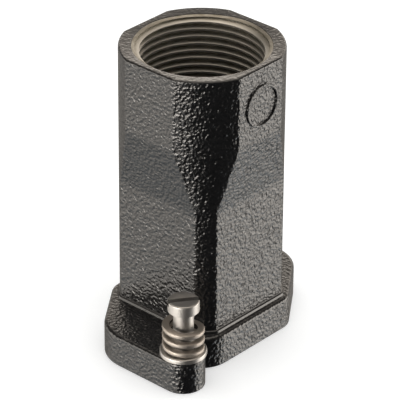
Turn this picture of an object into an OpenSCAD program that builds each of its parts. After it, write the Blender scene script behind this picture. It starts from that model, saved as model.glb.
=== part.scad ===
// Connector hood with a straight cable entry and two captive locking screws.
// Z is up along the cable entry. The origin lies on the mating face, on the axis of the tower.
// The front ear lies on the -Y side, and the rear ear is its half-turn about Z.

/* [Tower] */
// Height of the hood from the mating face to the rim of the cable entry
hood_h = 59.8; // [50:0.1:80]
// Diameter of the round column that makes the tower's four corners
tower_d = 31.2; // [30:0.1:34]
// Depth below the rim at which the upper flats start to slope inwards
slope_start = 15; // [12:0.1:18]
// Height of the sloping band between the upper and the lower flats
slope_h = 12.5; // [8:0.1:16]
// Rounding of the outer edge of the rim
rim_round = 0.4; // [0.1:0.05:0.6]
// Fillet where the tower meets the flange
base_fillet = 0.35; // [0.2:0.05:0.8]

/* [Cable entry] */
// Nominal diameter of the cable entry's metric fine thread
entry_thread_d = 25; // [22:0.1:27]
// Pitch of that thread
entry_pitch = 1.5; // [1:0.25:2]
// Wall between that thread and the upper flats
entry_wall = 1.95; // [1.5:0.05:2.4]
// Distance that the chamfer at the rim opens past the thread
mouth_over = 0.65; // [0.2:0.05:0.9]
// Height of the chamfer at the rim
mouth_h = 1.1; // [0.5:0.1:2]

/* [Insert hollow] */
// Width of the square hollow that takes the contact insert
hollow_w = 21.4; // [19:0.1:23]
// Wall between the hollow and the lower flats
low_wall = 1.7; // [1.2:0.05:2.2]
// Wall left in the tower's corners
corner_wall = 1.6; // [1:0.05:2.2]
// Width of the seat that stops the insert, where the hollow turns round
seat_w = 0.3; // [0.2:0.05:1]

/* [Flange] */
// Thickness of the flange and its ears
flange_t = 6.6; // [5.6:0.1:8]
// Width of the ledge between the lower flats and the flange's straight sides
ledge = 1.5; // [1:0.1:2.4]
// Distance from the tower axis to the sharp end of a straight side, where the slant begins
slant_y = 10; // [8:0.1:12]
// Distance from the tower axis to the sharp corner where the slant meets the outer side of an ear
slant_x = 4.6; // [2:0.1:6]
// Rounding where a straight side meets the slant
side_round = 4.5; // [1:0.1:6]
// Rounding where the slant meets the outer side of an ear
shoulder_round = 8.6; // [3:0.1:10]
// Distance from the tower axis to the sharp corner of the plate beside an ear
corner_y = 10.9; // [9.6:0.1:12]
// Rounding of that corner
corner_round = 6.2; // [1:0.1:7]
// Rounding in the notch between the plate and the end of an ear
notch_round = 0.8; // [0.2:0.1:1.2]

/* [Ears] */
// Distance of a screw from the tower axis along X
screw_x = 12.6; // [11.4:0.1:14]
// Distance of a screw from the tower axis along Y
screw_y = 18.7; // [17.6:0.1:21]
// Half width of an ear, and radius of its round end
ear_r = 4.15; // [3.6:0.05:4.6]

/* [Screws] */
// Nominal diameter of the screw thread
screw_thread_d = 5; // [4.4:0.1:5.4]
// Pitch of the screw thread
screw_pitch = 0.8; // [0.5:0.05:1]
// Length of the threaded end
screw_thread_l = 3.2; // [1:0.1:4]
// Length of the screw under its head
screw_l = 16; // [14.4:0.1:20]
// Gap round the reduced shank in the tapped hole of an ear
shank_gap = 0.1; // [0.05:0.01:0.3]
// Gap round the threaded end in the recess under the tapped hole
thread_gap = 0.3; // [0.1:0.05:0.5]
// Distance that the screw can rise before its thread meets the tapped hole
screw_lift = 0.8; // [0.2:0.1:1.5]
// Diameter of the screw head
head_d = 6; // [5.8:0.1:7]
// Height of the screw head
head_h = 2.2; // [1.6:0.1:4]
// Width of the driving slot
slot_w = 1.2; // [0.6:0.1:1.6]
// Depth of the driving slot
slot_depth = 1; // [0.4:0.1:1.4]
// Direction of the driving slot, measured from X
slot_turn = 54; // [0:1:180]
// Chamfer on the head and on the tip
screw_chamfer = 0.25; // [0.1:0.05:0.5]

/* [Springs and washers] */
// Play of the spring over the screw thread, across the diameter
spring_play = 0.1; // [0.05:0.05:0.4]
// Width of the spring wire across the radius
wire_w = 1.45; // [1:0.05:1.6]
// Thickness of the spring wire along the axis
wire_h = 1; // [0.8:0.05:1.4]
// Rise of the spring wire in one turn
spring_pitch = 1.95; // [1.6:0.05:2.2]
// Height of the spring between its ground ends
spring_h = 5.4; // [4.6:0.1:6]
// Thickness left at the ground tips of the wire
tip_h = 0.45; // [0.2:0.05:0.7]
// Direction of the wire's upper tip, measured from X
tip_turn = 152; // [-180:1:180]
// Play of the washer over the screw thread, across the diameter
washer_play = 0.3; // [0.1:0.1:0.6]
// Outside diameter of the washer
washer_od = 8.9; // [8.2:0.1:9.6]
// Thickness of the washer
washer_t = 1; // [0.5:0.1:1.6]

/* [Hidden] */
$fn = 96;
// Overlap of a cut past the face that it opens
cut = 1;
// Share of the pitch that a metric internal thread takes off the nominal diameter
minor_share = 1.0825;
// Shares of the pitch that a metric internal thread gives to its crest, its groove's mouth and its root
crest_share = 0.25;
groove_mouth_share = 0.75;
groove_root_share = 0.125;
// Largest angle between two points on a rounded corner of an outline
arc_step = 7.5;
// Steps in a quarter turn of a small edge rounding
edge_steps = 3;
// Steps of the spring wire in one turn
wire_steps = 36;
// Half of the turn that the flange outline makes in the notch, and at the plate's corner
notch_half_turn = 67.5;
corner_half_turn = 22.5;
// Share of a short side that its rounding may take up
room_share = 0.9;
// Distance under which two points of an outline are one
same_point = 0.001;

entry_minor_d = entry_thread_d - minor_share * entry_pitch;
top_flats = entry_thread_d + 2 * entry_wall;
low_flats = hollow_w + 2 * low_wall;
slope_top_z = hood_h - slope_start;
slope_low_z = slope_top_z - slope_h;
tapped_d = screw_thread_d - minor_share * screw_pitch;
recess_h = screw_thread_l + screw_lift;
spring_r = (screw_thread_d + spring_play) / 2;
spring_z = flange_t + washer_t;

coated_black = [0.13, 0.13, 0.13];
bare_steel = [0.72, 0.70, 0.66];

// Direction turned by a right angle to its left
function left_of(v) = [-v[1], v[0]];

// Cross product of two plane vectors
function cross2(a, b) = a[0] * b[1] - a[1] * b[0];

// Plane part of a corner
function place(c) = [c[0], c[1]];

// Unit vector from one point to another
function toward(a, b) = (b - a) / norm(b - a);

// Points of the arc that rounds corner c between its neighbours, where c = [x, y, radius]
function corner_arc(before, c, after) =
    let (d1 = toward(place(before), place(c)),
         d2 = toward(place(c), place(after)),
         side = sign(cross2(d1, d2)),
         turn = acos(d1 * d2),
         start = place(c) - d1 * c[2] * tan(turn / 2),
         centre = start + side * left_of(d1) * c[2],
         steps = ceil(turn / arc_step),
         from = start - centre)
    [for (i = [0:steps])
        let (a = side * turn * i / steps)
        centre + [from[0] * cos(a) - from[1] * sin(a), from[0] * sin(a) + from[1] * cos(a)]];

// Closed outline through rounded corners, without repeated points
function rounded_outline(corners) =
    let (n = len(corners),
         all = [for (i = [0:n - 1])
                   each corner_arc(corners[(i + n - 1) % n], corners[i], corners[(i + 1) % n])],
         m = len(all))
    [for (i = [0:m - 1]) if (norm(all[i] - all[(i + 1) % m]) > same_point) all[i]];

// Corners of the flange on the front ear's half, anticlockwise seen from above. The plate's corner
// runs into the ear at 45 degrees, and the roundings there are held to the room that they have.
function flange_half() =
    let (side_x = low_flats / 2 + ledge,
         ear_end = screw_x + ear_r,
         ear_in = screw_y - ear_r,
         ear_out = screw_y + ear_r,
         notch_x = side_x - (ear_in - corner_y),
         notch_room = room_share * (screw_x - notch_x) / tan(notch_half_turn),
         notch_r = min(notch_round, notch_room),
         corner_l = norm([side_x - notch_x, ear_in - corner_y]) - notch_r * tan(notch_half_turn),
         corner_r = min(corner_round, room_share * corner_l / tan(corner_half_turn)))
    [[-slant_x, -ear_out, shoulder_round],
     [ear_end, -ear_out, ear_r],
     [ear_end, -ear_in, ear_r],
     [notch_x, -ear_in, notch_r],
     [side_x, -corner_y, corner_r],
     [side_x, slant_y, side_round]];

// The flange outline is its own half-turn about the tower axis
function flange_outline() =
    let (half = flange_half())
    rounded_outline(concat(half, [for (c = half) [-c[0], -c[1], c[2]]]));

// Side of the tower from the mating face to the rim, at its distance from the axis below and above
// the slope. It flares into the base fillet and ends in the rounding of the rim.
function tower_side(low, top) = concat(
    [[low + base_fillet, 0]],
    [for (i = [0:edge_steps])
        let (a = 90 * i / edge_steps)
        [low + base_fillet * (1 - sin(a)), flange_t + base_fillet * (1 - cos(a))]],
    low == top ? [] : [[low, slope_low_z], [top, slope_top_z]],
    [for (i = [0:edge_steps])
        let (a = 90 * i / edge_steps)
        [top - rim_round * (1 - cos(a)), hood_h - rim_round * (1 - sin(a))]]);

// Places a child at the front ear's screw axis, or at the rear one
module at_ear(rear) {
    rotate(rear ? 180 : 0)
        translate([screw_x, -screw_y, 0])
            children();
}

// Block with the tower's side profile on two opposite flats
module flats_pair() {
    side = tower_side(low_flats / 2, top_flats / 2);
    n = len(side);
    rotate([90, 0, 0])
        linear_extrude(tower_d + 4 * cut, center = true)
            polygon(concat(side, [for (i = [1:n]) [-side[n - i][0], side[n - i][1]]]));
}

// Round column with four flats that step inwards below the cable entry
module tower() {
    intersection() {
        rotate_extrude()
            polygon(concat([[0, 0]], tower_side(tower_d / 2, tower_d / 2), [[0, hood_h]]));
        flats_pair();
        rotate(90) flats_pair();
    }
}

// Round way from the insert's seat up through the cable entry, whose thread is a row of level grooves
// of the thread's own profile
module entry_bore() {
    seat_r = hollow_w / 2 - seat_w;
    minor_r = entry_minor_d / 2;
    mouth_r = entry_thread_d / 2 + mouth_over;
    mouth_half = entry_pitch * groove_mouth_share / 2;
    root_half = entry_pitch * groove_root_share / 2;
    first_z = hood_h - mouth_h - entry_pitch * crest_share - mouth_half;
    count = floor((first_z - mouth_half - slope_top_z) / entry_pitch);
    grooves = [for (i = [0:count])
        let (z = first_z - (count - i) * entry_pitch)
        each [[minor_r, z - mouth_half], [entry_thread_d / 2, z - root_half],
              [entry_thread_d / 2, z + root_half], [minor_r, z + mouth_half]]];
    rotate_extrude()
        polygon(concat(
            [[0, slope_low_z - cut], [seat_r, slope_low_z - cut], [seat_r, slope_low_z],
             [minor_r, slope_top_z]],
            grooves,
            [[minor_r, hood_h - mouth_h], [mouth_r, hood_h], [mouth_r, hood_h + cut],
             [0, hood_h + cut]]));
}

// Square hollow for the contact insert, with trimmed corners
module insert_hollow() {
    intersection() {
        translate([-hollow_w / 2, -hollow_w / 2, -cut])
            cube([hollow_w, hollow_w, slope_low_z + cut]);
        translate([0, 0, -cut])
            cylinder(d = tower_d - 2 * corner_wall, h = slope_low_z + cut);
    }
}

// Tapped hole of an ear, with the recess that frees the screw's threaded end
module ear_hole() {
    translate([0, 0, -cut])
        cylinder(d = tapped_d, h = flange_t + 2 * cut);
    translate([0, 0, -cut])
        cylinder(d = screw_thread_d + 2 * thread_gap, h = recess_h + cut);
}

module hood_casting() {
    color(coated_black)
        difference() {
            union() {
                tower();
                linear_extrude(flange_t) polygon(flange_outline());
            }
            entry_bore();
            insert_hollow();
            for (rear = [false, true])
                at_ear(rear) ear_hole();
        }
}

// Captive screw with its tip on the mating plane
module locking_screw() {
    head_r = head_d / 2;
    thread_r = screw_thread_d / 2;
    shank_r = tapped_d / 2 - shank_gap;
    top_z = screw_l + head_h;
    color(bare_steel)
        difference() {
            rotate_extrude()
                polygon([[0, 0], [thread_r - screw_chamfer, 0], [thread_r, screw_chamfer],
                         [thread_r, screw_thread_l], [shank_r, screw_thread_l], [shank_r, screw_l],
                         [head_r, screw_l], [head_r, top_z - screw_chamfer],
                         [head_r - screw_chamfer, top_z], [0, top_z]]);
            rotate(slot_turn)
                translate([-head_d, -slot_w / 2, top_z - slot_depth])
                    cube([2 * head_d, slot_w, slot_depth + cut]);
        }
}

// Left-hand flat-wire spring whose two ends are ground flat
module flat_spring() {
    rise = spring_h - 2 * tip_h + wire_h;
    turns = rise / spring_pitch;
    steps = ceil(turns * wire_steps);
    outer_r = spring_r + wire_w;
    rings = [for (i = [0:steps])
        let (a = tip_turn + 360 * turns * (1 - i / steps),
             low = tip_h - wire_h + rise * i / steps,
             z0 = max(low, 0),
             z1 = min(low + wire_h, spring_h))
        [for (p = [[spring_r, z0], [outer_r, z0], [outer_r, z1], [spring_r, z1]])
            [p[0] * cos(a), p[0] * sin(a), p[1]]]];
    corners = len(rings[0]);
    sides = [for (i = [0:steps - 1], k = [0:corners - 1])
        let (a = i * corners + k, b = i * corners + (k + 1) % corners)
        [a, b, b + corners, a + corners]];
    low_end = [for (k = [1:corners]) corners - k];
    high_end = [for (k = [0:corners - 1]) steps * corners + k];
    color(bare_steel)
        translate([0, 0, spring_z])
            polyhedron([for (r = rings) each r], concat([low_end], sides, [high_end]));
}

module plain_washer() {
    color(bare_steel)
        translate([0, 0, flange_t])
            difference() {
                cylinder(d = washer_od, h = washer_t);
                translate([0, 0, -cut])
                    cylinder(d = screw_thread_d + washer_play, h = washer_t + 2 * cut);
            }
}

module front_screw() { at_ear(false) locking_screw(); }
module front_spring() { at_ear(false) flat_spring(); }
module front_washer() { at_ear(false) plain_washer(); }
module rear_screw() { at_ear(true) locking_screw(); }
module rear_spring() { at_ear(true) flat_spring(); }
module rear_washer() { at_ear(true) plain_washer(); }

hood_casting();
front_screw();
front_spring();
front_washer();
rear_screw();
rear_spring();
rear_washer();
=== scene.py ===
"""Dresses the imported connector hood: its coated casting, its bare thread and its captive screws."""

import math

import bmesh
import bpy
from bpy.props import FloatProperty, FloatVectorProperty, PointerProperty
from mathutils import Euler, Matrix, Vector


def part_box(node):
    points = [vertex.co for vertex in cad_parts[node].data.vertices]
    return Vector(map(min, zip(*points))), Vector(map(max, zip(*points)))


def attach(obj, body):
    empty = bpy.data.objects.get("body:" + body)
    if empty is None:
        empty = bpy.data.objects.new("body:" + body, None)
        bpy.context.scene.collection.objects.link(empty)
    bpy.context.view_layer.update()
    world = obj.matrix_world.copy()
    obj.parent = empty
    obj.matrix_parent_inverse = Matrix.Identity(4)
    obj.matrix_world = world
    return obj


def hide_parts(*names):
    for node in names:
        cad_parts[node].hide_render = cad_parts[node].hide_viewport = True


bl_info = {
    "name": "Connector Hood",
    "version": (1, 0, 0),
    "blender": (4, 5, 0),
    "location": "View3D > Sidebar > Hood",
    "description": "Models a cable connector hood with its locking screws around the packed solids",
    "category": "Object",
}

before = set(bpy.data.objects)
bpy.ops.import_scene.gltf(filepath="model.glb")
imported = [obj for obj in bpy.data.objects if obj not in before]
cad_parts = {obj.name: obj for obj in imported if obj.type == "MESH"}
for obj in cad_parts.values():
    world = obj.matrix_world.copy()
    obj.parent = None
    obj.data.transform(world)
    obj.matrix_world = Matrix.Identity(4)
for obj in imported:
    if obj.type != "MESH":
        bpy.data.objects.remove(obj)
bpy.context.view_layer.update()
MM = 0.001
RIM_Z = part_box("hood_casting")[1].z
FLANGE_TOP_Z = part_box("front_washer")[0].z
FULL_TURN = 2 * math.pi

MERGE = 0.002 * MM  # Points nearer to each other than this are one point
SLACK = 0.01 * MM  # Allowance in a test of where a face lies
THREAD_SUNK = 0.05 * MM  # Depth of a thread's ridge in the wall that it is joined to
THREAD_END = 0.4 * MM  # Height of the cone at the lower end of the entry's thread
MARK_SUNK, MARK_EASE = 0.2 * MM, 0.12 * MM  # Depth of the ring in the flat, and its edges' chamfer
SMALL_CHAMFER = 0.1 * MM  # Chamfer of the washers and of the lower edge of a screw head
EDGE_BREAK, EDGE_ANGLE = 0.06 * MM, 50  # Fasteners' edge bevel, and the least turn that gets it
RIM_COAT = (0.45 * MM, 0.25 * MM)  # Depths below the rim between which the coat grows thin

# Points or steps in a turn.
HOLE_STEPS, ENTRY_STEPS, CONE_STEPS, MARK_STEPS = 48, 96, 128, 64
FASTENER_STEPS, SCREW_THREAD_STEPS, WIRE_STEPS = 72, 48, 16

# Degrees below which the faces of the casting and of a fastener are smoothed.
CAST_SMOOTH, FASTENER_SMOOTH = 30, 35

# The studio's heights are those of a direction of unit length, from -1 below to 1 overhead.
CARD_HEIGHTS = (-0.8, -0.1)  # A card goes from its low to its high share between these
WALL_RISE = (0.08, 0.28)  # The wall takes over from the cards between these
WALL_HEIGHTS = (0.26, 0.4)  # The wall goes from the level at its foot to its own between these
CEILING_RISE = (0.7, 0.9)  # The ceiling takes over from the wall between these
WALL_SIDES = (0.5, 0.9)  # Cosines from the wall's middle, from the dark side to the whole wall
BOX_CORE = 0.7  # Share of the low box's spread that is at its full level

FLOOR_R, FLOOR_STEPS = 3.0, 96
FLOOR_LIFT = 0.25  # What the paper shows beyond the light on it
OVERHEAD_PLACE, OVERHEAD_SIZE = (0, 0.1, 0.9), 0.8
SENSOR_W, CLIP = 36, (0.01, 20)  # Camera's sensor in millimetres, and its near and far limits


def linear(hex_colour):
    """Linear RGBA of an sRGB hex colour such as #1a2b3c."""
    parts = [int(hex_colour[i:i + 2], 16) / 255 for i in (1, 3, 5)]
    return [p / 12.92 if p <= 0.04045 else ((p + 0.055) / 1.055) ** 2.4 for p in parts] + [1.0]


def length(name, description, mm):
    """A length property with its default in millimetres."""
    return FloatProperty(
        name=name, description=description, default=mm * MM, unit="LENGTH", precision=5)


def angle(name, description, degrees):
    """An angle property with its default in degrees."""
    return FloatProperty(
        name=name, description=description, default=math.radians(degrees), subtype="ANGLE")


def number(name, description, value):
    """A property for a level, a share or a ratio, which is never negative."""
    return FloatProperty(name=name, description=description, default=value, min=0)


def colour(name, description, hex_colour):
    """A colour property with its default as an sRGB hex value."""
    return FloatVectorProperty(
        name=name, description=description, default=linear(hex_colour),
        subtype="COLOR", size=4, min=0, max=1)


class HoodSizes(bpy.types.PropertyGroup):
    """Sizes of the casting, from the same values as its solid."""

    column_r: length("Column radius", "Radius of the tower's four round corners", 15.6)
    top_flat: length("Upper flat", "Distance from the axis to an upper flat", 14.45)
    low_flat: length("Lower flat", "Distance from the axis to a lower flat", 12.4)
    slope_start: length("Slope start", "Depth below the rim at which the flats slope inwards", 15.0)
    slope_h: length("Slope height", "Height of the sloping band", 12.5)
    crease_round: length("Crease rounding", "Rounding between a flat and a round corner", 1.2)
    band_round: length("Band rounding", "Half height of the bend at each end of that band", 0.7)
    rim_round: length("Rim rounding", "Rounding of the rim's outer edge", 0.4)
    foot_w: length("Foot", "Distance that the tower's foot stands out at the flange", 0.5)
    foot_h: length("Foot height", "Height of that foot's steep face", 0.4)
    foot_lean: length("Foot lean", "Distance that the steep face leans in over its height", 0.15)
    base_fillet: length("Base fillet", "Rise of the fillet from the foot to the tower's wall", 0.2)
    thread_r: length("Entry thread", "Radius at the roots of the entry's thread", 12.5)
    crest_r: length("Entry crests", "Radius at the crests of the entry's thread", 11.69)
    thread_pitch: length("Entry pitch", "Rise of the entry's thread in a turn", 1.5)
    thread_phase: length("Entry start", "Depth below the rim of a crest on the +X side", 0.408)
    rim_fall: number("Rim fall", "Fall of the rim towards the mouth per unit of its width", 0.085)
    lip_round: length("Lip", "Rounding of the coat's edge round the mouth", 0.12)
    mouth_over: length("Mouth", "Distance that the mouth's chamfer opens past the thread", 0.6)
    mouth_h: length("Mouth chamfer", "Depth below the rim at which the mouth's chamfer ends", 0.5)
    mouth_relief: length("Mouth relief", "Depth below the rim at which the thread starts", 0.92)
    mouth_fade: length("Thread start", "Depth below the rim of the first whole crest", 1.18)
    hollow_half: length("Hollow", "Half width of the insert's square hollow", 10.7)
    hollow_corner_r: length("Hollow corners", "Radius that trims the hollow's corners", 14.0)
    hollow_round: length("Hollow rounding", "Rounding of the hollow's trimmed corners", 0.5)
    seat_r: length("Seat", "Radius of the round way above the hollow", 10.4)
    edge_round: length("Flange edge", "Rounding of the flange's upper edge", 0.7)
    foot_round: length("Flange foot", "Rounding of the flange's lower edge", 0.2)
    side_x: length("Straight side", "Distance from the axis to the flange's straight sides", 13.9)
    slant_y: length("Slant start", "Distance from the axis to where the slant begins", 10.0)
    slant_x: length("Slant end", "Distance from the axis to where the slant meets an ear", 4.6)
    side_round: length("Side rounding", "Rounding where a straight side meets the slant", 4.5)
    shoulder_round: length("Shoulder rounding", "Rounding where the slant meets an ear", 8.6)
    corner_y: length("Plate corner", "Distance from the axis to the plate's corner by an ear", 10.9)
    corner_round: length("Plate rounding", "Rounding of that corner", 6.2)
    notch_round: length("Notch rounding", "Rounding between the plate and an ear's end", 0.8)
    ear_x: length("Ear along X", "Distance of an ear's hole from the axis along X", 12.6)
    ear_y: length("Ear along Y", "Distance of an ear's hole from the axis along Y", 18.7)
    ear_r: length("Ear radius", "Radius of an ear's round end", 4.15)
    tapped_r: length("Tapped hole", "Radius of an ear's tapped hole", 2.067)
    recess_r: length("Recess", "Radius of the recess under the tapped hole", 2.8)
    recess_h: length("Recess height", "Height of that recess", 4.0)
    mark_r: length("Ring mark", "Outer radius of the plain raised ring near the rim", 4.35)
    mark_w: length("Ring width", "Width of that ring's band", 0.6)
    mark_h: length("Ring height", "Height of that ring above the flat", 0.35)
    mark_drop: length("Ring depth", "Distance of the ring's centre below the rim", 7.8)
    mark_y: length("Ring along Y", "Distance of the ring's centre from the middle of the flat", 0.4)


class FastenerSizes(bpy.types.PropertyGroup):
    """Sizes of the screws, springs and washers. Their places come from the frame."""

    shank_r: length("Shank", "Radius of the screw's reduced shank", 1.967)
    thread_r: length("Screw thread", "Radius over the screw's thread", 2.5)
    root_r: length("Thread root", "Radius at the roots of the screw's thread", 2.05)
    thread_pitch: length("Screw pitch", "Rise of the screw's thread in a turn", 0.8)
    thread_l: length("Thread length", "Length of the screw's threaded end", 3.2)
    head_r: length("Head", "Radius of the screw head", 3.0)
    head_h: length("Head height", "Height of the screw head", 2.2)
    head_round: length("Head edge", "Rounding of the head's edges", 0.3)
    slot_w: length("Slot width", "Width of the driving slot", 1.2)
    slot_depth: length("Slot depth", "Depth of the driving slot", 1.0)
    slot_turn: angle("Slot direction", "Direction of the front screw's slot, measured from X", 54)
    wire_w: length("Wire width", "Width of the spring wire across the radius", 1.45)
    wire_h: length("Wire thickness", "Thickness of the spring wire along the axis", 1.0)
    wire_round: length("Wire edges", "Rounding of the spring wire's edges", 0.3)
    spring_pitch: length("Spring pitch", "Rise of the spring wire in a turn", 1.95)
    tip_h: length("Ground tip", "Thickness left at the spring's ground tips", 0.45)
    tip_turn: angle("Tip direction", "Direction of the front spring's upper tip, from X", 152)
    washer_hole_r: length("Washer hole", "Radius of the washer's hole", 2.65)
    washer_round: length("Washer edges", "Rounding of the washer's punched edges", 0.25)


class HoodFinishes(bpy.types.PropertyGroup):
    """Colours of the hood's finishes and of its painted shades, and the relief of its coat."""

    coat: colour("Hammertone coat", "Black of the powder coat", "#0c0c0d")
    bare: colour("Machined aluminium", "Bare metal of the cut thread", "#d8d5cd")
    # Painted shade: the brown mixed into the thread's roots, darker the deeper they lie
    root_shade: colour("Thread grooves", "Painted brown shade in the thread's roots", "#6c6248")
    steel: colour("Stainless steel", "Bare metal of the screws and washers", "#d6d3cf")
    wire: colour("Spring wire", "Bare metal of the springs", "#c6beb5")
    # Painted shade: the dark colour put on the screws' slot faces and the springs' inner faces
    painted_shade: colour("Painted shade", "Painted shade in the screws' slots and inside the springs", "#3c3832")
    hammer_cell: length("Hammer cell", "Width of one dimple of the hammertone texture", 0.6)
    hammer_depth: length("Hammer depth", "Depth of one dimple of the hammertone texture", 0.27)
    rim_relief: number("Rim relief", "Share of that depth on the rim, where the coat is thin", 0.35)
    foot_relief: number("Foot relief", "Share of it on the tower's foot", 0.15)
    edge_relief: number("Edge relief", "Share of it on the flange's upper edge", 0.45)


class HoodStage(bpy.types.PropertyGroup):
    """The studio round the hood."""

    camera_place: FloatVectorProperty(
        name="Camera", description="Place of the camera", default=(0.321758, -0.357518, 0.299171),
        subtype="TRANSLATION", unit="LENGTH", size=3)
    camera_azimuth: angle("Azimuth", "Turn of the camera round the hood", 42.014)
    camera_elevation: angle("Elevation", "Angle of the camera's view below the horizon", 29.531)
    camera_roll: angle("Roll", "Turn of the camera about its view", 0.380)
    camera_lens: number("Lens", "Focal length in millimetres", 262)
    floor: colour("Floor", "Paper that the hood stands on", "#f4f4f3")
    world: number("Room light", "Strength of the room's even light", 0.85)
    key_power: number("Overhead box", "Power of the soft box overhead", 2.5)
    left_level: number("Left card", "Level of the card on the hood's left", 1.05)
    right_level: number("Right card", "Level of the card on the hood's right", 1.95)
    back_level: number("Back card", "Level of the card behind the hood", 0.22)
    flag_level: number("Flag", "Level of the black flag on the hood's right front", 0.02)
    low_share: number("Low share", "Share of a card's level that steep reflections see", 0.36)
    high_share: number("High share", "Share of a card's level that level reflections see", 1.8)
    wall_level: number("Wall", "Level of the pale wall behind the hood", 0.62)
    wall_azimuth: angle("Wall direction", "Direction of that wall from -Y towards +X", -158)
    wall_foot: number("Wall foot", "Level of that wall where it meets the floor", 2.0)
    dark_level: number("Dark side", "Level of the room beside and before the hood", 0.08)
    top_level: number("Ceiling", "Level of the ceiling over the hood", 1.1)
    box_level: number("Low box", "Level of the soft box low on the hood's left front", 7.5)
    box_azimuth: angle("Low box direction", "Direction of that box from -Y towards +X", 1)
    box_elevation: angle("Low box height", "Angle of that box above the horizon", -4)
    box_spread: number("Low box spread", "Half width of that box at unit distance", 0.58)
    box_aspect: number("Low box shape", "Width of that box as a share of its height", 2.8)
    card_tint: colour("Card tint", "Warm white of the reflector cards", "#fff8ef")
    low_tint: colour("Low tint", "Cooler white at the foot of those cards", "#f6fbfd")
    wall_tint: colour("Wall tint", "Warmer white of the wall and the ceiling", "#fff3e5")


def start_piece():
    """Clears the selection, so that the next primitive begins a piece of its own."""
    if bpy.context.mode != "OBJECT":
        bpy.ops.object.mode_set(mode="OBJECT")
    bpy.ops.object.select_all(action="DESELECT")
    bpy.context.view_layer.objects.active = None


def pick(piece):
    """Selects one piece alone and makes it the active one."""
    bpy.ops.object.select_all(action="DESELECT")
    piece.select_set(True)
    bpy.context.view_layer.objects.active = piece


def place(points):
    """Puts the selected vertices, in their order, on these points."""
    mesh = bpy.context.edit_object.data
    bm = bmesh.from_edit_mesh(mesh)
    bm.verts.index_update()
    picked = sorted((v for v in bm.verts if v.select), key=lambda v: v.index)
    if len(picked) != len(points):
        raise RuntimeError(f"a section has {len(points)} points for {len(picked)} vertices")
    for vertex, point in zip(picked, points):
        vertex.co = point
    bmesh.update_edit_mesh(mesh)


def loft(sections):
    """Extrudes a closed outline through its sections, in the edited piece or in a new one."""
    bpy.ops.mesh.primitive_circle_add(
        vertices=len(sections[0]), radius=MM, fill_type="NOTHING", enter_editmode=True)
    place(sections[0])
    for section in sections[1:]:
        bpy.ops.mesh.extrude_region()
        place(section)


def fill_level(z):
    """Closes the open outlines that lie at a height with one flat face and its holes."""
    mesh = bpy.context.edit_object.data
    bpy.ops.mesh.select_mode(type="EDGE")
    bpy.ops.mesh.select_all(action="DESELECT")
    bm = bmesh.from_edit_mesh(mesh)
    found = [
        e for e in bm.edges
        if e.is_boundary and all(abs(v.co.z - z) < MERGE for v in e.verts)]
    for edge in found:
        edge.select_set(True)
    bm.select_flush_mode()
    bmesh.update_edit_mesh(mesh)
    if not found:
        raise RuntimeError(f"no open outline lies at {z / MM:.2f} mm")
    bpy.ops.mesh.fill(use_beauty=True)


def cap_ends():
    """Closes the two open ends of the swept piece."""
    bpy.ops.object.mode_set(mode="EDIT")
    bpy.ops.mesh.select_mode(type="EDGE")
    bpy.ops.mesh.select_all(action="DESELECT")
    bpy.ops.mesh.select_non_manifold(extend=False)
    bpy.ops.mesh.fill_holes(sides=0)


def close_piece(name):
    """Merges doubles, turns the faces outwards and names the edited piece."""
    bpy.ops.mesh.select_all(action="SELECT")
    bpy.ops.mesh.remove_doubles(threshold=MERGE)
    bpy.ops.mesh.normals_make_consistent(inside=False)
    bpy.ops.object.mode_set(mode="OBJECT")
    piece = bpy.context.object
    piece.name = piece.data.name = name
    return piece


def apply_modifier(piece, kind, **settings):
    """Adds a modifier with its settings and applies it."""
    modifier = piece.modifiers.new(kind.title(), kind)
    for key, value in settings.items():
        setattr(modifier, key, value)
    pick(piece)
    bpy.ops.object.modifier_apply(modifier=modifier.name)


def weld(piece):
    """Merges the doubles and dissolves the slivers that a Boolean or a bevel leaves."""
    pick(piece)
    bpy.ops.object.mode_set(mode="EDIT")
    bpy.ops.mesh.select_all(action="SELECT")
    bpy.ops.mesh.remove_doubles(threshold=MERGE)
    bpy.ops.mesh.dissolve_degenerate(threshold=MERGE)
    bpy.ops.object.mode_set(mode="OBJECT")


def smooth(piece, degrees):
    """Smooths the faces that meet below an angle, and keeps the large flat ones flat."""
    weld(piece)
    bpy.ops.object.shade_smooth_by_angle(angle=math.radians(degrees))
    apply_modifier(piece, "WEIGHTED_NORMAL", keep_sharp=True, weight=80)


def break_edges(piece):
    """Bevels the sharp edges of a fastener and smooths the rest."""
    apply_modifier(
        piece, "BEVEL", width=EDGE_BREAK, segments=2, limit_method="ANGLE",
        angle_limit=math.radians(EDGE_ANGLE))
    smooth(piece, FASTENER_SMOOTH)


def combine(piece, tool, operation):
    """Joins a tool shape to a piece, or cuts it out, and removes the tool."""
    apply_modifier(piece, "BOOLEAN", object=tool, operation=operation, solver="EXACT")
    bpy.data.objects.remove(tool)
    weld(piece)


def dress(piece, body, slot, node, *materials):
    """Gives a piece its materials and the body that it rides on, and hides the CAD node it stands
    for.
    """
    piece.data.materials.clear()
    for material in materials:
        piece.data.materials.append(material)
    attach(piece, body)
    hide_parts(node)


def rear_copy(front, name, centre):
    """Copies a front piece, with a mesh of its own and a half turn about Z, and places the two."""
    rear = front.copy()
    rear.data = front.data.copy()
    rear.name = rear.data.name = name
    bpy.context.collection.objects.link(rear)
    rear.data.transform(Matrix.Rotation(math.pi, 4, "Z"))
    front.data.transform(Matrix.Translation((centre.x, centre.y, 0)))
    rear.data.transform(Matrix.Translation((-centre.x, -centre.y, 0)))
    return rear


def ring(radius, z, count, centre=(0, 0)):
    """Points of a level circle."""
    return [
        Vector((centre[0] + radius * math.cos(FULL_TURN * i / count),
                centre[1] + radius * math.sin(FULL_TURN * i / count), z))
        for i in range(count)]


def quarter(steps):
    """Sine and cosine pairs over a quarter turn."""
    turns = [math.pi / 2 * i / steps for i in range(steps + 1)]
    return [(math.sin(turn), math.cos(turn)) for turn in turns]


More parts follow.
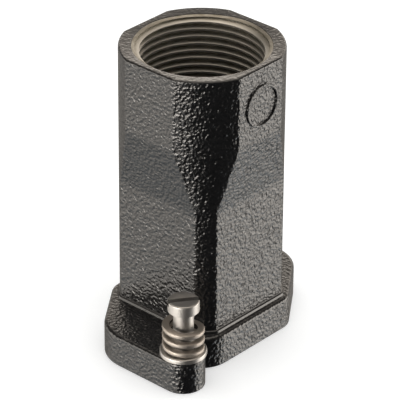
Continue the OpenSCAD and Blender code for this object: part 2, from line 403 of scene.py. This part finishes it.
def flatted_round(flat, radius, crease, z, flat_steps=12, crease_steps=4, arc_steps=10):
    """Section of a flatted round column with rounded creases, of as many points each time."""
    along = math.sqrt((radius - crease) ** 2 - (flat - crease) ** 2)
    turn = math.atan2(along, flat - crease)
    side = [(flat, along * (2 * i / flat_steps - 1)) for i in range(flat_steps)]
    for i in range(crease_steps):
        a = turn * i / crease_steps
        side.append((flat - crease + crease * math.cos(a), along + crease * math.sin(a)))
    for i in range(arc_steps):
        a = turn + (math.pi / 2 - 2 * turn) * i / arc_steps
        side.append((radius * math.cos(a), radius * math.sin(a)))
    for i in range(crease_steps):
        a = math.pi / 2 - turn + turn * i / crease_steps
        side.append((along + crease * math.cos(a), flat - crease + crease * math.sin(a)))
    turns = [(1, 0), (0, 1), (-1, 0), (0, -1)]
    return [Vector((c * x - s * y, s * x + c * y, z)) for c, s in turns for x, y in side]


def inset_outline(corners, inset, z, step=math.radians(6)):
    """Rounded outline through corners of x, y and radius, moved inwards by an inset."""
    points = []
    for i, (x, y, radius) in enumerate(corners):
        here = Vector((x, y))
        before = (here - Vector(corners[i - 1][:2])).normalized()
        after = (Vector(corners[(i + 1) % len(corners)][:2]) - here).normalized()
        inward = [Vector((-d.y, d.x)) for d in (before, after)]
        here += inset * (inward[0] + inward[1]) / (1 + inward[0].dot(inward[1]))
        side = math.copysign(1, before.cross(after))
        turn = before.angle(after)
        rounding = radius - side * inset
        start = here - before * rounding * math.tan(turn / 2)
        centre = start + side * inward[0] * rounding
        steps = math.ceil(turn / step)
        for k in range(steps + 1):
            points.append(centre + Matrix.Rotation(side * turn * k / steps, 2) @ (start - centre))
    points = [p for p, q in zip(points, points[1:] + points[:1]) if (p - q).length > MERGE / 2]
    return [Vector((p.x, p.y, z)) for p in points]


def flange_corners(s):
    """Corners of the flange outline, whose second half is the first after a half turn."""
    ear_in, ear_out = s.ear_y - s.ear_r, s.ear_y + s.ear_r
    half = [
        (-s.slant_x, -ear_out, s.shoulder_round),
        (s.ear_x + s.ear_r, -ear_out, s.ear_r),
        (s.ear_x + s.ear_r, -ear_in, s.ear_r),
        (s.side_x - (ear_in - s.corner_y), -ear_in, s.notch_round),
        (s.side_x, -s.corner_y, s.corner_round),
        (s.side_x, s.slant_y, s.side_round)]
    return half + [(-x, -y, r) for x, y, r in half]


def flange_sections(s):
    """Sections of the flange from the rounding of its foot to that of its upper edge."""
    corners = flange_corners(s)
    made = [(s.foot_round * (1 - sine), s.foot_round * (1 - cosine)) for sine, cosine in quarter(2)]
    made += [
        (s.edge_round * (1 - cosine), FLANGE_TOP_Z - s.edge_round * (1 - sine))
        for sine, cosine in quarter(5)]
    return [inset_outline(corners, inset, z) for inset, z in made]


def tower_sections(s):
    """Sections of the tower from its foot on the flange to the rounding of its rim."""
    slope_top, slope_low = RIM_Z - s.slope_start, RIM_Z - s.slope_start - s.slope_h
    foot_z = FLANGE_TOP_Z + s.foot_h
    made = [(s.foot_w, FLANGE_TOP_Z, s.low_flat)]
    made += [
        ((s.foot_w - s.foot_lean) * (1 - sine), foot_z + s.base_fillet * (1 - cosine), s.low_flat)
        for sine, cosine in quarter(4)]
    bend = s.band_round * (s.top_flat - s.low_flat) / s.slope_h
    for z, flat, lift in ((slope_low, s.low_flat, 1), (slope_top, s.top_flat, -1)):
        for share in (-1, -0.5, 0, 0.5, 1):
            rest = bend * (share + 1) / 2 if lift > 0 else bend * (1 - share) / 2
            made.append((0, z + share * s.band_round, flat + lift * rest * (1 + lift * share) / 2))
    made += [
        (-s.rim_round * (1 - cosine), RIM_Z - s.rim_round * (1 - sine), s.top_flat)
        for sine, cosine in quarter(4)]
    return [
        flatted_round(flat + out, s.column_r + out, s.crease_round + out, z)
        for out, z, flat in made]


def thread_ridge(name, root_r, crest_r, pitch, start_z, turns, steps):
    """A right-hand thread as one helical ridge, from a crest height on the +X side.

    The ridge is wide at its root and an eighth of the pitch to each side at its crest.
    """
    out = math.copysign(1, root_r - crest_r)
    root_half, crest_half = pitch * 7 / 16, pitch / 8
    sunk = root_r + out * THREAD_SUNK
    section = [(sunk, -root_half), (crest_r, -crest_half), (crest_r, crest_half), (sunk, root_half)]
    start_piece()
    loft([[Vector((r, 0, start_z + z)) for r, z in section]])
    bpy.ops.object.mode_set(mode="OBJECT")
    ridge = bpy.context.object
    apply_modifier(
        ridge, "SCREW", axis="Z", angle=FULL_TURN, screw_offset=pitch, iterations=turns,
        steps=steps, render_steps=steps, use_merge_vertices=False)
    cap_ends()
    return close_piece(name)


def trim(piece, z, above):
    """Cuts the part of a piece above or below a height away, as a grinder would."""
    size = 2.5 * max(piece.dimensions)
    start_piece()
    middle = z + size / 2 if above else z - size / 2
    bpy.ops.mesh.primitive_cube_add(size=size, location=(0, 0, middle))
    combine(piece, bpy.context.object, "DIFFERENCE")
    return piece


def feed(tree, node, inputs):
    """Sets or links the inputs of a node by name or number."""
    for key, value in inputs.items():
        if isinstance(value, bpy.types.NodeSocket):
            tree.links.new(value, node.inputs[key])
        else:
            node.inputs[key].default_value = value


def add_node(tree, kind, inputs, **settings):
    """Adds a shader node with its settings and inputs."""
    made = tree.nodes.new(f"ShaderNode{kind}")
    for key, value in settings.items():
        setattr(made, key, value)
    feed(tree, made, inputs)
    return made


def new_material(name):
    """An empty node material, its tree, its shader and its object coordinates."""
    material = bpy.data.materials.new(name)
    material.use_nodes = True
    tree = material.node_tree
    shader = tree.nodes["Principled BSDF"]
    place_node = add_node(tree, "TexCoord", {})
    return material, tree, shader, place_node.outputs["Object"]


def hammertone_coat(finish, sizes):
    """Black hammertone powder coat, sprayed and baked on the die-casting.

    The film draws into shallow glossy dimples less than a millimetre wide, so a flat face glitters
    with small broken reflections and turns black where nothing bright faces it.
    """
    material, tree, shader, spot = new_material("hammertone_powder_coat")
    paler = 1.6  # How much paler the coat is on a swell than in a dimple
    swell = add_node(
        tree, "TexNoise",
        {"Vector": spot, "Scale": 1 / finish.hammer_cell, "Detail": 1.0, "Roughness": 0.4})
    swell = swell.outputs["Fac"]
    height = add_node(tree, "SeparateXYZ", {"Vector": spot}).outputs["Z"]
    relief = add_node(
        tree, "MapRange",
        {"Value": height, "From Min": RIM_Z - RIM_COAT[0], "From Max": RIM_Z - RIM_COAT[1],
         "To Min": 1.0, "To Max": finish.rim_relief}).outputs["Result"]
    # The smoother bands over and under the flange's upper face keep just clear of it.
    foot_rise = sizes.foot_h + sizes.base_fillet
    for low, rise, share in (
            (FLANGE_TOP_Z + 2 * SLACK, foot_rise, finish.foot_relief),
            (FLANGE_TOP_Z - SLACK - sizes.edge_round, sizes.edge_round, finish.edge_relief)):
        half = rise / 2
        band = add_node(tree, "Math", {0: height, 1: low + half, 2: half}, operation="COMPARE")
        relief = add_node(
            tree, "Mix", {"Factor": band.outputs[0], "A": relief, "B": share}).outputs[0]
    dimples = add_node(
        tree, "Bump",
        {"Height": swell, "Distance": finish.hammer_depth, "Strength": relief}).outputs["Normal"]
    tone = add_node(
        tree, "Mix",
        {"Factor": swell, "A": finish.coat, "B": [paler * c for c in finish.coat[:3]] + [1]},
        data_type="RGBA")
    feed(tree, shader, {
        "Base Color": tone.outputs["Result"], "Normal": dimples, "Coat Normal": dimples,
        "Roughness": 0.28, "IOR": 1.5, "Coat Weight": 1.0, "Coat Roughness": 0.06, "Coat IOR": 1.5})
    return material


def machined_aluminium(finish, sizes):
    """Die-cast aluminium laid bare by the thread cutter.

    The crests are bright and faintly warm, and a painted dull brown shade darkens the thread's roots.
    """
    material, tree, shader, spot = new_material("machined_aluminium")
    mark_l, squeeze = 1.5 * MM, 12  # Length of a tool mark, and how much flatter it is than long
    shade_r = sizes.crest_r + 0.15 * MM  # Painted shade begins a little way behind the crests
    flat = add_node(tree, "VectorMath", {0: spot, 1: (1, 1, 0)}, operation="MULTIPLY")
    radius = add_node(tree, "VectorMath", {0: flat.outputs["Vector"]}, operation="LENGTH")
    depth = add_node(
        tree, "MapRange",
        {"Value": radius.outputs["Value"], "From Min": shade_r, "From Max": sizes.thread_r})
    tool_marks = add_node(tree, "Mapping", {"Vector": spot, "Scale": (1, 1, squeeze)})
    grain = add_node(
        tree, "TexNoise",
        {"Vector": tool_marks.outputs["Vector"], "Scale": 1 / mark_l, "Detail": 3.0}).outputs["Fac"]
    # Painted shade in the roots, darker with depth and broken up by the grain
    painted_shade = add_node(tree, "Math", {0: depth.outputs["Result"], 1: grain}, operation="MULTIPLY")
    tone = add_node(
        tree, "Mix",
        {"Factor": painted_shade.outputs["Value"], "A": finish.bare, "B": finish.root_shade}, data_type="RGBA")
    scratches = add_node(tree, "Bump", {"Height": grain, "Distance": 0.01 * MM, "Strength": 0.6})
    feed(tree, shader, {
        "Base Color": tone.outputs["Result"], "Normal": scratches.outputs["Normal"],
        "Metallic": 1.0, "Roughness": 0.42})
    return material


def stainless_steel(steel, name, roughness, line_h, axis):
    """Bare stainless steel, turned, wound or punched.

    Fine lines run round the piece, so a highlight spreads along it and stays sharp across it.
    """
    material, tree, shader, spot = new_material(name)
    stretch, darker = 40, 0.86  # A line's length by its height, and how dark the dullest are
    lines = add_node(tree, "Mapping", {"Vector": spot, "Location": axis, "Scale": (1, 1, stretch)})
    grain = add_node(
        tree, "TexNoise",
        {"Vector": lines.outputs["Vector"], "Scale": 1 / (stretch * line_h), "Detail": 2.0})
    grain = grain.outputs["Fac"]
    dull = add_node(
        tree, "MapRange",
        {"Value": grain, "To Min": roughness - 0.06, "To Max": roughness + 0.1})
    fine = add_node(tree, "Bump", {"Height": grain, "Distance": 0.006 * MM, "Strength": 0.5})
    tone = add_node(
        tree, "Mix",
        {"Factor": grain, "A": [darker * c for c in steel[:3]] + [1], "B": steel}, data_type="RGBA")
    feed(tree, shader, {
        "Base Color": tone.outputs["Result"], "Roughness": dull.outputs["Result"],
        "Normal": fine.outputs["Normal"], "Metallic": 1.0})
    return material


class HOOD_OT_cast(bpy.types.Operator):
    """Models the casting: flange, flatted tower, hollow, threaded entry and its plain ring mark."""

    bl_idname = "hood.cast"
    bl_label = "Cast Hood"

    def execute(self, context):
        s, finish = context.scene.hood_sizes, context.scene.hood_finishes
        entry_z = RIM_Z - s.slope_start
        seat_z = entry_z - s.slope_h
        start_piece()
        loft(flange_sections(s))
        outside = tower_sections(s)
        loft(outside + self.mouth_sections(s, outside[-1], entry_z, seat_z))
        loft([
            flatted_round(s.hollow_half, s.hollow_corner_r, s.hollow_round, z)
            for z in (seat_z, 0)])
        hole = ((s.tapped_r, FLANGE_TOP_Z), (s.tapped_r, s.recess_h), (s.recess_r, s.recess_h),
                (s.recess_r, 0))
        for side in (1, -1):
            spot = (side * s.ear_x, -side * s.ear_y)
            loft([ring(r, z, HOLE_STEPS, spot) for r, z in hole])
        for z in (0, FLANGE_TOP_Z, seat_z):
            fill_level(z)
        hood = close_piece("hood_shell")
        self.cut_thread(hood, s, entry_z)
        self.raise_mark(hood, s)
        smooth(hood, CAST_SMOOTH)
        coat, bare = hammertone_coat(finish, s), machined_aluminium(finish, s)
        dress(hood, "hood", "coat", "hood_casting", coat, bare)
        bare_r = s.thread_r + s.mouth_over + SLACK
        for face in hood.data.polygons:
            reach = max(math.hypot(*hood.data.vertices[v].co.xy) for v in face.vertices)
            face.material_index = int(reach < bare_r and face.center.z > entry_z)
        return {"FINISHED"}

    def mouth_sections(self, s, rim, entry_z, seat_z):
        """Sections from the rim's outline over its lip, down the entry and to the seat."""
        rays = [Vector((p.x, p.y, 0)).normalized() for p in rim]
        mouth_r = s.thread_r + s.mouth_over
        falls = [s.rim_fall * (p.xy.length - mouth_r - s.lip_round) for p in rim]
        made = []
        for sine, cosine in quarter(3):
            radius = mouth_r + s.lip_round * (1 - sine)
            drop = s.lip_round * (1 - cosine)
            made.append([
                radius * ray + Vector((0, 0, RIM_Z - fall - drop))
                for ray, fall in zip(rays, falls)])
        for radius, z in (
                (s.thread_r, RIM_Z - s.mouth_h), (s.thread_r, entry_z + THREAD_END),
                (s.crest_r, entry_z), (s.seat_r, seat_z)):
            made.append([radius * ray + Vector((0, 0, z)) for ray in rays])
        return made

    def cut_thread(self, hood, s, entry_z):
        """Adds the entry's thread, faded out by the mouth's chamfer."""
        first = RIM_Z - s.thread_phase
        turns = math.ceil((s.slope_start + 2 * s.thread_pitch) / s.thread_pitch)
        ridge = thread_ridge(
            "thread", s.thread_r, s.crest_r, s.thread_pitch, first - (turns - 1) * s.thread_pitch,
            turns, ENTRY_STEPS)
        ridge = trim(ridge, entry_z + THREAD_END, above=False)
        slope = (s.thread_r - s.crest_r) / (s.mouth_fade - s.mouth_relief)
        # The chamfer's cone reaches below the first whole crest and above the rim.
        ends = (RIM_Z - s.mouth_fade - MM, RIM_Z + 3 * MM)
        start_piece()
        loft([ring(s.crest_r + slope * (z - RIM_Z + s.mouth_fade), z, CONE_STEPS) for z in ends])
        for z in ends:
            fill_level(z)
        combine(ridge, close_piece("chamfer"), "DIFFERENCE")
        combine(hood, ridge, "UNION")

    def raise_mark(self, hood, s):
        """Adds the plain raised ring on the +X flat."""
        base, top, ease = s.top_flat - MARK_SUNK, s.top_flat + s.mark_h, MARK_EASE
        inner = s.mark_r - s.mark_w
        profile = [(s.mark_r, base), (s.mark_r, top - ease), (s.mark_r - ease, top),
                   (inner + ease, top), (inner, top - ease), (inner, base), (s.mark_r, base)]
        start_piece()
        loft([
            [Vector((x, s.mark_y + p.x, RIM_Z - s.mark_drop + p.y)) for p in ring(r, 0, MARK_STEPS)]
            for r, x in profile])
        combine(hood, close_piece("mark"), "UNION")


class HOOD_OT_turn_screws(bpy.types.Operator):
    """Models the front locking screw with its slot and thread, and copies it to the rear ear."""

    bl_idname = "hood.turn_screws"
    bl_label = "Turn Screws"

    def execute(self, context):
        s, finish = context.scene.hood_fasteners, context.scene.hood_finishes
        low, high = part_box("front_screw")
        centre = (low + high) / 2
        under, top = high.z - s.head_h, high.z
        point, run_out, neck = 0.3 * MM, 0.2 * MM, 0.15 * MM
        profile = [
            (s.root_r - point, 0), (s.root_r, point), (s.root_r, s.thread_l - run_out),
            (s.shank_r, s.thread_l), (s.shank_r, under - neck), (s.shank_r + neck, under),
            (s.head_r - SMALL_CHAMFER, under), (s.head_r, under + SMALL_CHAMFER)]
        profile += [(s.head_r - s.head_round * (1 - cosine), top - s.head_round * (1 - sine))
                    for sine, cosine in quarter(4)]
        start_piece()
        loft([ring(r, z, FASTENER_STEPS) for r, z in profile])
        for z in (0, top):
            fill_level(z)
        screw = close_piece("locking_screw_front")
        turns = round(s.thread_l / s.thread_pitch) + 1
        ridge = thread_ridge(
            "thread", s.root_r, s.thread_r, s.thread_pitch, -s.thread_pitch / 2, turns,
            SCREW_THREAD_STEPS)
        ridge = trim(ridge, point + THREAD_SUNK, above=False)
        ridge = trim(ridge, s.thread_l - run_out - THREAD_SUNK, above=True)
        combine(screw, ridge, "UNION")
        start_piece()
        bpy.ops.mesh.primitive_cube_add(size=1, location=(0, 0, top))
        bpy.ops.transform.resize(value=(3 * s.head_r, s.slot_w, 2 * s.slot_depth))
        bpy.ops.transform.rotate(value=-s.slot_turn, orient_axis="Z", center_override=(0, 0, 0))
        bpy.ops.object.transform_apply()
        combine(screw, bpy.context.object, "DIFFERENCE")
        break_edges(screw)
        rear = rear_copy(screw, "locking_screw_rear", centre)
        # Faces inside the slot get the painted shade
        slot_floor, slot_lip = top - s.slot_depth - SLACK, top - 0.08 * MM
        slot_r = s.head_r - 0.15 * MM
        for piece, spot, body, node in (
                (screw, centre, "front_locking_screw", "front_screw"),
                (rear, -centre, "rear_locking_screw", "rear_screw")):
            look = {"line_h": 0.05 * MM, "axis": (-spot.x, -spot.y, 0)}
            steel = stainless_steel(
                finish.steel, f"turned_stainless_steel_{node}", roughness=0.42, **look)
            painted_shade = stainless_steel(
                finish.painted_shade, f"painted_shade_stainless_steel_{node}", roughness=0.5, **look)
            dress(piece, body, "steel", node, steel, painted_shade)
            for face in piece.data.polygons:
                deep = slot_floor < face.center.z < slot_lip
                off = (face.center.xy - spot.xy).length
                face.material_index = int(deep and off < slot_r)
        return {"FINISHED"}


class HOOD_OT_wind_springs(bpy.types.Operator):
    """Models the front flat-wire spring with ground ends, and copies it to the rear ear."""

    bl_idname = "hood.wind_springs"
    bl_label = "Wind Springs"

    def execute(self, context):
        s, finish = context.scene.hood_fasteners, context.scene.hood_finishes
        low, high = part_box("front_spring")
        centre = (low + high) / 2
        outer = (high.x - low.x) / 2
        rise = high.z - low.z - 2 * s.tip_h + s.wire_h
        turns = rise / s.spring_pitch
        half_w, half_h = s.wire_w / 2 - s.wire_round, s.wire_h / 2 - s.wire_round
        middle = outer - s.wire_w / 2
        first_z = low.z + s.tip_h - s.wire_h / 2
        section = []
        for k in range(WIRE_STEPS):
            a = FULL_TURN * (k + 0.5) / WIRE_STEPS
            section.append(Vector((
                middle + math.copysign(half_w, math.cos(a)) + s.wire_round * math.cos(a), 0,
                first_z + math.copysign(half_h, math.sin(a)) + s.wire_round * math.sin(a))))
        start_piece()
        loft([section])
        bpy.ops.object.mode_set(mode="OBJECT")
        spring = bpy.context.object
        spring.name = "flat_spring_front"
        steps = math.ceil(FASTENER_STEPS * turns)
        apply_modifier(
            spring, "SCREW", axis="Z", angle=-FULL_TURN * turns, screw_offset=rise, iterations=1,
            steps=steps, render_steps=steps, use_merge_vertices=False)
        spring.data.transform(Matrix.Rotation(s.tip_turn + FULL_TURN * turns, 4, "Z"))
        cap_ends()
        close_piece(spring.name)
        trim(trim(spring, low.z, above=False), high.z, above=True)
        break_edges(spring)
        rear = rear_copy(spring, "flat_spring_rear", centre)
        # Faces on the spring's inside get the painted shade
        inside_r = outer - s.wire_w + 0.1 * MM
        for piece, spot, node in ((spring, centre, "front_spring"), (rear, -centre, "rear_spring")):
            look = {"roughness": 0.5, "line_h": 0.08 * MM, "axis": (-spot.x, -spot.y, 0)}
            steel = stainless_steel(finish.wire, f"wound_stainless_steel_{node}", **look)
            painted_shade = stainless_steel(finish.painted_shade, f"painted_shade_wire_{node}", **look)
            dress(piece, "hood", "steel", node, steel, painted_shade)
            for face in piece.data.polygons:
                off = (face.center.xy - spot.xy).length
                face.material_index = int(off < inside_r)
        return {"FINISHED"}


class HOOD_OT_punch_washers(bpy.types.Operator):
    """Models the front washer with its punched edges, and copies it to the rear ear."""

    bl_idname = "hood.punch_washers"
    bl_label = "Punch Washers"

    def execute(self, context):
        s, finish = context.scene.hood_fasteners, context.scene.hood_finishes
        low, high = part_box("front_washer")
        centre = (low + high) / 2
        outer, edge = (high.x - low.x) / 2, s.washer_round
        hole, chamfer = s.washer_hole_r, SMALL_CHAMFER
        profile = [(hole + chamfer, low.z), (outer - chamfer, low.z), (outer, low.z + chamfer)]
        profile += [(outer - edge * (1 - cosine), high.z - edge * (1 - sine))
                    for sine, cosine in quarter(4)]
        profile += [(hole + chamfer, high.z), (hole, high.z - chamfer), (hole, low.z + chamfer),
                    (hole + chamfer, low.z)]
        start_piece()
        loft([ring(r, z, FASTENER_STEPS) for r, z in profile])
        washer = close_piece("plain_washer_front")
        smooth(washer, FASTENER_SMOOTH)
        rear = rear_copy(washer, "plain_washer_rear", centre)
        for piece, spot, node in ((washer, centre, "front_washer"), (rear, -centre, "rear_washer")):
            steel = stainless_steel(
                finish.steel, f"punched_stainless_steel_{node}", roughness=0.38, line_h=0.06 * MM,
                axis=(-spot.x, -spot.y, 0))
            dress(piece, "hood", "steel", node, steel)
        return {"FINISHED"}


class HOOD_OT_set_stage(bpy.types.Operator):
    """Sets up the camera, the paper floor, the overhead box and what reflections see."""

    bl_idname = "hood.set_stage"
    bl_label = "Set Stage"

    def execute(self, context):
        s, scene = context.scene.hood_stage, context.scene
        start_piece()
        bpy.ops.object.camera_add(location=s.camera_place)
        camera = context.object
        turn = Euler((math.pi / 2 - s.camera_elevation, 0, s.camera_azimuth)).to_matrix()
        camera.rotation_euler = (turn @ Matrix.Rotation(s.camera_roll, 3, "Z")).to_euler()
        camera.data.lens = s.camera_lens
        camera.data.sensor_width = SENSOR_W
        camera.data.clip_start, camera.data.clip_end = CLIP
        scene.camera = camera
        self.lay_floor(s)
        self.hang_box(s)
        self.light_room(scene, s)
        scene.view_settings.view_transform = "Standard"
        return {"FINISHED"}

    def lay_floor(self, s):
        """A white paper floor that shows itself white and still takes the hood's shadow."""
        start_piece()
        bpy.ops.mesh.primitive_circle_add(vertices=FLOOR_STEPS, radius=FLOOR_R, fill_type="NGON")
        floor = bpy.context.object
        floor.name = "paper_floor"
        material = bpy.data.materials.new("white_seamless_paper")
        material.use_nodes = True
        tree = material.node_tree
        shader = tree.nodes["Principled BSDF"]
        path = add_node(tree, "LightPath", {}).outputs
        seen = path["Is Camera Ray"]
        for ray in ("Is Glossy Ray", "Is Transmission Ray"):
            seen = add_node(tree, "Math", {0: seen, 1: path[ray]}, operation="MAXIMUM").outputs[0]
        lift = add_node(tree, "Math", {0: seen, 1: FLOOR_LIFT}, operation="MULTIPLY")
        feed(tree, shader, {
            "Base Color": s.floor, "Roughness": 0.9, "Specular IOR Level": 0.0,
            "Emission Color": (1, 1, 1, 1), "Emission Strength": lift.outputs["Value"]})
        floor.data.materials.append(material)
        floor.visible_glossy = False

    def hang_box(self, s):
        """One large soft box overhead."""
        spot = Vector(OVERHEAD_PLACE)
        bpy.ops.object.light_add(type="AREA", location=spot)
        lamp = bpy.context.object
        lamp.name = "overhead_box"
        lamp.data.shape, lamp.data.size, lamp.data.energy = "SQUARE", OVERHEAD_SIZE, s.key_power
        lamp.visible_glossy = False
        lamp.rotation_euler = (-spot).to_track_quat("-Z", "Y").to_euler()

    def light_room(self, scene, s):
        """Gives the room its even light, and reflections a studio of their own."""
        world = scene.world or bpy.data.worlds.new("room")
        scene.world = world
        world.use_nodes = True
        tree = world.node_tree
        path = add_node(tree, "LightPath", {})
        seen = add_node(
            tree, "Mix",
            {"Factor": path.outputs["Is Glossy Ray"], "A": (s.world, s.world, s.world, 1),
             "B": self.build_studio(tree, s)}, data_type="RGBA")
        tree.links.new(seen.outputs["Result"], tree.nodes["Background"].inputs["Color"])

    def build_studio(self, tree, s):
        """Cards and a black flag all round, with a wall, a ceiling and a low box.

        The cards' levels follow the direction from -Y towards +X in degrees, and darken towards the
        floor. The tints follow the height.
        """
        levels = (
            (-180, s.back_level), (-90, s.back_level), (-66, s.left_level), (4, s.left_level),
            (20, s.flag_level), (112, s.flag_level), (124, s.right_level), (152, s.right_level),
            (172, s.back_level))
        greys = [(degrees, (grey, grey, grey, 1)) for degrees, grey in levels]
        tints = ((-0.7, s.low_tint), (-0.56, s.card_tint), (0.05, s.card_tint), (0.3, s.wall_tint))
        way = add_node(tree, "TexCoord", {}).outputs["Generated"]
        across, along, up = add_node(tree, "SeparateXYZ", {"Vector": way}).outputs
        front = add_node(tree, "Math", {0: along, 1: -1.0}, operation="MULTIPLY")
        turn = add_node(tree, "Math", {0: across, 1: front.outputs[0]}, operation="ARCTAN2")
        ramps = []
        for value, reach, whole, stops in (
                (turn.outputs[0], math.pi, 180, greys), (up, 1, 1, tints)):
            share = add_node(
                tree, "MapRange", {"Value": value, "From Min": -reach, "From Max": reach})
            ramp = add_node(tree, "ValToRGB", {"Fac": share.outputs[0]})
            elements = ramp.color_ramp.elements
            while len(elements) < len(stops):
                elements.new(0.5)
            for element, (place_on, shade) in zip(elements, stops):
                element.position = (place_on + whole) / (2 * whole)
                element.color = shade
            ramps.append(ramp.outputs["Color"])
        cards, tint = ramps
        fall = add_node(
            tree, "MapRange",
            {"Value": up, "From Min": CARD_HEIGHTS[0], "From Max": CARD_HEIGHTS[1],
             "To Min": s.low_share, "To Max": s.high_share})
        level = add_node(
            tree, "Math", {0: cards, 1: fall.outputs[0]}, operation="MULTIPLY").outputs[0]
        wall = self.stand_wall(tree, s, way, up)
        for (low, high), above in ((WALL_RISE, wall), (CEILING_RISE, s.top_level)):
            rise = add_node(
                tree, "MapRange", {"Value": up, "From Min": low, "From Max": high},
                interpolation_type="SMOOTHSTEP")
            level = add_node(
                tree, "Mix",
                {"Factor": rise.outputs[0], "A": level, "B": above}).outputs[0]
        box = self.aim_low_box(tree, s, way)
        level = add_node(tree, "Mix", {"Factor": box, "A": level, "B": s.box_level}).outputs[0]
        return add_node(tree, "VectorMath", {0: tint, "Scale": level}, operation="SCALE").outputs[0]

    def stand_wall(self, tree, s, way, up):
        """Level of the wall behind the hood, and of the dark room beside it."""
        middle = (math.sin(s.wall_azimuth), -math.cos(s.wall_azimuth), 0)
        behind = add_node(tree, "VectorMath", {0: way, 1: middle}, operation="DOT_PRODUCT")
        fade = add_node(
            tree, "MapRange",
            {"Value": up, "From Min": WALL_HEIGHTS[0], "From Max": WALL_HEIGHTS[1],
             "To Min": s.wall_foot, "To Max": s.wall_level})
        return add_node(
            tree, "MapRange",
            {"Value": behind.outputs["Value"], "From Min": WALL_SIDES[0], "From Max": WALL_SIDES[1],
             "To Min": s.dark_level, "To Max": fade.outputs[0]},
            interpolation_type="SMOOTHSTEP").outputs[0]

    def aim_low_box(self, tree, s, way):
        """Share of the low box in a direction, from 1 in its core to 0 past its spread."""
        aim = Euler((-s.box_elevation, 0, s.box_azimuth)).to_matrix() @ Vector((0, -1, 0))
        off = add_node(tree, "VectorMath", {0: way, 1: aim}, operation="SUBTRACT")
        off = add_node(
            tree, "VectorMath", {0: off.outputs[0], 1: (1, 1, s.box_aspect)},
            operation="MULTIPLY")
        off = add_node(tree, "VectorMath", {0: off.outputs[0]}, operation="LENGTH")
        return add_node(
            tree, "MapRange",
            {"Value": off.outputs["Value"], "From Min": s.box_spread,
             "From Max": BOX_CORE * s.box_spread}, interpolation_type="SMOOTHSTEP").outputs[0]


class HOOD_PT_sidebar(bpy.types.Panel):
    """Lists the hood's sizes, finishes and steps in the 3D view's sidebar."""

    bl_idname = "HOOD_PT_sidebar"
    bl_label = "Connector Hood"
    bl_space_type = "VIEW_3D"
    bl_region_type = "UI"
    bl_category = "Hood"

    def draw(self, context):
        for step in STEPS:
            self.layout.operator(step.bl_idname)
        for name, group in GROUPS.items():
            box = self.layout.box()
            for field in group.__annotations__:
                box.prop(getattr(context.scene, name), field)


GROUPS = {
    "hood_sizes": HoodSizes,
    "hood_fasteners": FastenerSizes,
    "hood_finishes": HoodFinishes,
    "hood_stage": HoodStage,
}
STEPS = (
    HOOD_OT_cast,
    HOOD_OT_turn_screws,
    HOOD_OT_wind_springs,
    HOOD_OT_punch_washers,
    HOOD_OT_set_stage,
)


def register():
    """Registers the property groups, the steps and the sidebar."""
    for item in (*GROUPS.values(), *STEPS, HOOD_PT_sidebar):
        bpy.utils.register_class(item)
    for name, group in GROUPS.items():
        setattr(bpy.types.Scene, name, PointerProperty(type=group))


def unregister():
    """Takes back what register added."""
    for name in GROUPS:
        delattr(bpy.types.Scene, name)
    for item in (HOOD_PT_sidebar, *reversed(STEPS), *reversed(tuple(GROUPS.values()))):
        bpy.utils.unregister_class(item)


def main():
    register()
    bpy.ops.hood.cast()
    bpy.ops.hood.turn_screws()
    bpy.ops.hood.wind_springs()
    bpy.ops.hood.punch_washers()
    bpy.ops.hood.set_stage()


if __name__ == "__main__":
    main()
